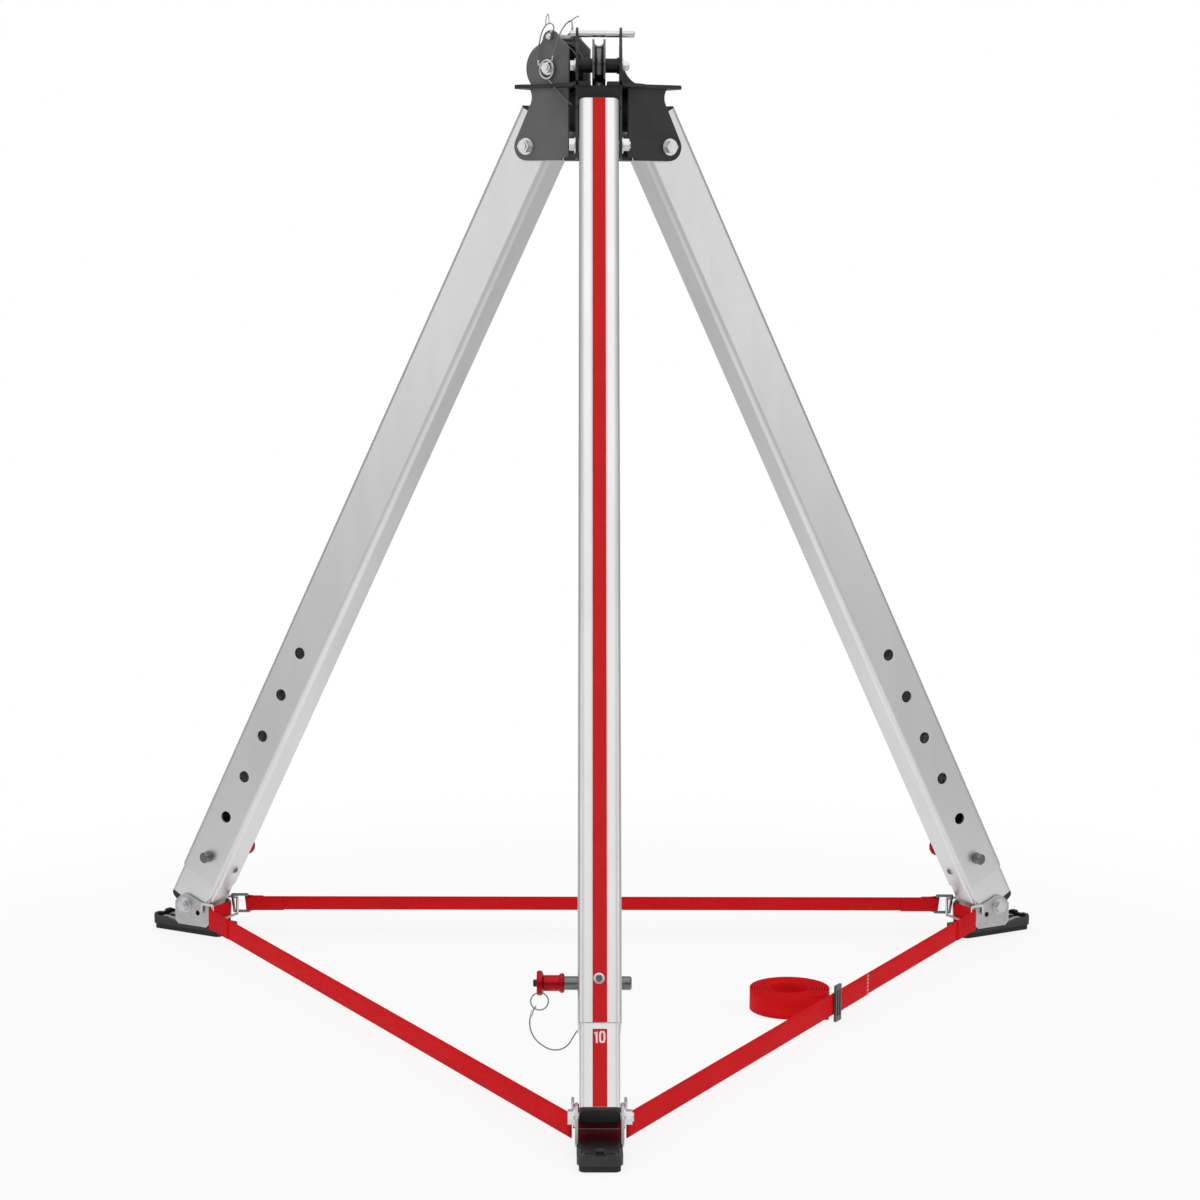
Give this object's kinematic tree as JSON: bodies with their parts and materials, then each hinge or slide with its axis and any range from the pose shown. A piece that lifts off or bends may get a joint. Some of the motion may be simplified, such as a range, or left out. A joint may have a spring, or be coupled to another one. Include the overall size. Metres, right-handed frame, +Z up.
{
  "type": "rescue tripod",
  "caption": "Telescopic rescue tripod with a plate head, rope sheaves, pin-locked square legs, swivelling feet and a webbing loop that ties the feet together.",
  "frame": {"origin": "on the floor, under the middle of the box that holds the tripod without its webbing", "axes": "+Z up; -Y towards the front leg; +X to the right seen from the front"},
  "size_m": [1.5554, 1.3502, 1.5552],
  "materials": {
    "black_coat": "satin black powder coat",
    "steel": "zinc-plated and stainless steel",
    "tube_aluminium": "satin anodised",
    "black_plastic": "matte",
    "red_anodised": "dark red anodised",
    "bracket_grey": "bare bent plate",
    "rubber": "matte",
    "webbing": "woven polyester",
    "buckle_grey": "dark grey coat"
  },
  "bodies": {
    "head": {"head_top_plate": "black_coat", "head_bottom_ring": "black_coat", "front_bracket": "black_coat", "left_bracket": "black_coat", "right_bracket": "black_coat", "hinge_bolts": "steel", "sheave_axles": "steel", "sheave_spacers": "black_plastic", "keeper_lanyards": "steel"},
    "front_sheave": {"front_sheave": "tube_aluminium"},
    "left_sheave": {"left_sheave": "tube_aluminium"},
    "front_keeper": {"front_keeper_pin": "steel"},
    "left_keeper": {"left_keeper_pin": "steel"},
    "front_leg": {"front_outer_tube": "tube_aluminium", "front_hinge_bush": "black_plastic", "front_pin_lanyard": "steel"},
    "front_inner_leg": {"front_inner_tube": "tube_aluminium", "front_end_plug": "black_plastic", "front_strap": "webbing"},
    "front_foot": {"front_foot_bracket": "bracket_grey", "front_foot_plate": "black_coat", "front_foot_pad": "rubber", "front_foot_bolt": "steel", "front_bail": "steel"},
    "front_pin": {"front_lock_pin": "steel", "front_pin_knob": "red_anodised", "front_pin_ring": "steel"},
    "front_button": {"front_pin_button": "black_plastic"},
    "right_leg": {"right_outer_tube": "tube_aluminium", "right_hinge_bush": "black_plastic"},
    "right_inner_leg": {"right_inner_tube": "tube_aluminium", "right_end_plug": "black_plastic", "right_strap": "webbing", "buckle_strap": "webbing", "strap_coil": "webbing", "strap_buckle": "buckle_grey", "right_strap_ring": "steel"},
    "right_foot": {"right_foot_bracket": "bracket_grey", "right_foot_plate": "black_coat", "right_foot_pad": "rubber", "right_foot_bolt": "steel", "right_bail": "steel"},
    "right_pin": {"right_lock_pin": "steel", "right_pin_knob": "red_anodised"},
    "right_button": {"right_pin_button": "black_plastic"},
    "left_leg": {"left_outer_tube": "tube_aluminium", "left_hinge_bush": "black_plastic"},
    "left_inner_leg": {"left_inner_tube": "tube_aluminium", "left_end_plug": "black_plastic", "left_strap": "webbing", "back_strap": "webbing", "left_strap_ring": "steel"},
    "left_foot": {"left_foot_bracket": "bracket_grey", "left_foot_plate": "black_coat", "left_foot_pad": "rubber", "left_foot_bolt": "steel", "left_bail": "steel"},
    "left_pin": {"left_lock_pin": "steel", "left_pin_knob": "red_anodised"},
    "left_button": {"left_pin_button": "black_plastic"}
  },
  "joints": [
    {"name": "front_leg_fold", "type": "hinge", "parent": "head", "child": "front_leg", "pos_m": [0, 0.10006, 1.36318], "axis": [1, 0, 0], "range_deg": [0, 28], "deforming": ["left_strap", "front_strap", "right_strap", "buckle_strap", "back_strap", "strap_coil", "strap_buckle", "left_strap_ring", "right_strap_ring"]},
    {"name": "right_leg_fold", "type": "hinge", "parent": "head", "child": "right_leg", "pos_m": [0.09526, 0.26506, 1.36318], "axis": [-0.5, 0.866, 0], "range_deg": [0, 28], "deforming": ["left_strap", "front_strap", "right_strap", "buckle_strap", "back_strap", "strap_coil", "strap_buckle", "left_strap_ring", "right_strap_ring"]},
    {"name": "left_leg_fold", "type": "hinge", "parent": "head", "child": "left_leg", "pos_m": [-0.09526, 0.26506, 1.36318], "axis": [-0.5, -0.866, 0], "range_deg": [0, 28], "deforming": ["left_strap", "front_strap", "right_strap", "buckle_strap", "back_strap", "strap_coil", "strap_buckle", "left_strap_ring", "right_strap_ring"]},
    {"name": "front_leg_slide", "type": "slide", "parent": "front_leg", "child": "front_inner_leg", "axis": [0, -0.4695, -0.8829], "range_m": [0, 0.51], "deforming": ["left_strap", "front_strap", "right_strap", "buckle_strap", "back_strap", "strap_coil", "strap_buckle", "left_strap_ring", "right_strap_ring"]},
    {"name": "right_leg_slide", "type": "slide", "parent": "right_leg", "child": "right_inner_leg", "axis": [0.4066, 0.2347, -0.8829], "range_m": [0, 0.51], "deforming": ["left_strap", "front_strap", "right_strap", "buckle_strap", "back_strap", "strap_coil", "strap_buckle", "left_strap_ring", "right_strap_ring"]},
    {"name": "left_leg_slide", "type": "slide", "parent": "left_leg", "child": "left_inner_leg", "axis": [-0.4066, 0.2347, -0.8829], "range_m": [0, 0.51], "deforming": ["left_strap", "front_strap", "right_strap", "buckle_strap", "back_strap", "strap_coil", "strap_buckle", "left_strap_ring", "right_strap_ring"]},
    {"name": "front_foot_tilt", "type": "hinge", "parent": "front_inner_leg", "child": "front_foot", "pos_m": [0, -0.5971, 0.052], "axis": [1, 0, 0], "range_deg": [-25, 25], "deforming": ["left_strap", "front_strap", "right_strap", "buckle_strap", "back_strap", "strap_coil", "strap_buckle", "left_strap_ring", "right_strap_ring"]},
    {"name": "right_foot_tilt", "type": "hinge", "parent": "right_inner_leg", "child": "right_foot", "pos_m": [0.69903, 0.61365, 0.052], "axis": [-0.5, 0.866, 0], "range_deg": [-25, 25], "deforming": ["left_strap", "front_strap", "right_strap", "buckle_strap", "back_strap", "strap_coil", "strap_buckle", "left_strap_ring", "right_strap_ring"]},
    {"name": "left_foot_tilt", "type": "hinge", "parent": "left_inner_leg", "child": "left_foot", "pos_m": [-0.69903, 0.61365, 0.052], "axis": [-0.5, -0.866, 0], "range_deg": [-25, 25], "deforming": ["left_strap", "front_strap", "right_strap", "buckle_strap", "back_strap", "strap_coil", "strap_buckle", "left_strap_ring", "right_strap_ring"]},
    {"name": "front_pin_pull", "type": "slide", "parent": "front_leg", "child": "front_pin", "axis": [-1, 0, 0], "range_m": [0, 0.072], "deforming": ["front_pin_lanyard"]},
    {"name": "right_pin_pull", "type": "slide", "parent": "right_leg", "child": "right_pin", "axis": [-0.5, 0.866, 0], "range_m": [0, 0.072]},
    {"name": "left_pin_pull", "type": "slide", "parent": "left_leg", "child": "left_pin", "axis": [0.5, 0.866, 0], "range_m": [0, 0.072]},
    {"name": "front_pin_button_press", "type": "slide", "parent": "front_pin", "child": "front_button", "axis": [1, 0, 0], "range_m": [0, 0.004], "stiffness_N_per_m": 500},
    {"name": "right_pin_button_press", "type": "slide", "parent": "right_pin", "child": "right_button", "axis": [0.5, -0.866, 0], "range_m": [0, 0.004], "stiffness_N_per_m": 500},
    {"name": "left_pin_button_press", "type": "slide", "parent": "left_pin", "child": "left_button", "axis": [-0.5, -0.866, 0], "range_m": [0, 0.004], "stiffness_N_per_m": 500},
    {"name": "front_sheave_spin", "type": "hinge", "parent": "head", "child": "front_sheave", "pos_m": [0, 0.14006, 1.48418], "axis": [1, 0, 0], "continuous": true},
    {"name": "left_sheave_spin", "type": "hinge", "parent": "head", "child": "left_sheave", "pos_m": [-0.06062, 0.24506, 1.48418], "axis": [-0.5, -0.866, 0], "continuous": true},
    {"name": "front_keeper_pull", "type": "slide", "parent": "head", "child": "front_keeper", "axis": [-1, 0, 0], "range_m": [0, 0.058], "deforming": ["keeper_lanyards"]},
    {"name": "left_keeper_pull", "type": "slide", "parent": "head", "child": "left_keeper", "axis": [-0.5, -0.866, 0], "range_m": [0, 0.058], "deforming": ["keeper_lanyards"]}
  ],
  "couplings": [
    {"joint": "right_leg_fold", "follows": "front_leg_fold", "ratio": 1},
    {"joint": "left_leg_fold", "follows": "front_leg_fold", "ratio": 1}
  ]
}
